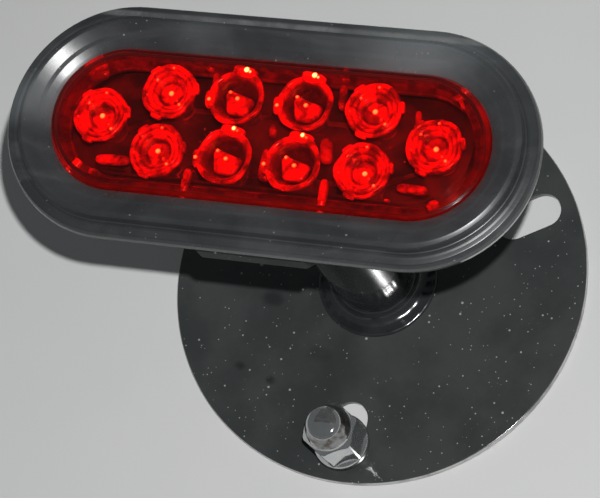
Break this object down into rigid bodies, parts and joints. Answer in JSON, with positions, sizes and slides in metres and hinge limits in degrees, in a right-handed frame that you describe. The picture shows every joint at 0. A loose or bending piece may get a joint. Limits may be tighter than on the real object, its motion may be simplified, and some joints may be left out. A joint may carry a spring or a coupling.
{
  "type": "trailer tail light",
  "caption": "Spare-wheel tail light: red oval LED lamp in a black rubber grommet on a steel standoff tube, with a round slotted mounting plate and a chrome lug nut.",
  "frame": {"origin": "centre of the mounting plate's back face, which is also the bottom centre of the whole object", "axes": "+Z along the standoff tube from the plate to the lamp, +X along the lamp's long axis, +Y across the lamp, away from the slot that holds the lug nut"},
  "size_m": [0.1912, 0.165, 0.1677],
  "materials": {
    "powder_coat": "semi-gloss black powder coat",
    "gloss_paint": "gloss black",
    "rubber": "satin moulded rubber",
    "red_lens": "clear red, polished",
    "housing": "moulded",
    "board": "solder mask",
    "optic": "clear, polished",
    "led": "lit",
    "ceramic": "glazed",
    "epoxy": "moulded epoxy",
    "terminal": "bright",
    "stud_steel": "plain",
    "chrome": "polished"
  },
  "bodies": {
    "stand": {"mounting_plate": "powder_coat", "standoff_tube": "gloss_paint", "plate_weld": "gloss_paint", "head_weld": "gloss_paint", "lamp_strap": "powder_coat", "lamp_panel": "powder_coat", "grommet": "rubber", "lamp_lens": "red_lens", "lamp_housing": "housing", "circuit_board": "board", "optic_1": "optic", "optic_2": "optic", "optic_3": "optic", "optic_4": "optic", "optic_5": "optic", "optic_6": "optic", "optic_7": "optic", "optic_8": "optic", "optic_9": "optic", "optic_10": "optic", "led_1": "led", "led_2": "led", "led_3": "led", "led_4": "led", "led_5": "led", "led_6": "led", "led_7": "led", "led_8": "led", "led_9": "led", "led_10": "led", "resistor_1": "ceramic", "resistor_2": "ceramic", "resistor_3": "ceramic", "diode": "epoxy", "terminal_pin_1": "terminal", "terminal_pin_2": "terminal", "terminal_pin_3": "terminal"},
    "stud": {"wheel_stud": "stud_steel"},
    "nut": {"lug_nut": "chrome"}
  },
  "joints": [
    {"name": "stud_slide", "type": "slide", "parent": "stand", "child": "stud", "axis": [0, 1, 0], "range_m": [-0.00185, 0.01085]},
    {"name": "nut_spin", "type": "hinge", "parent": "stud", "child": "nut", "pos_m": [0, -0.068, 0], "axis": [0, 0, 1], "continuous": true}
  ]
}
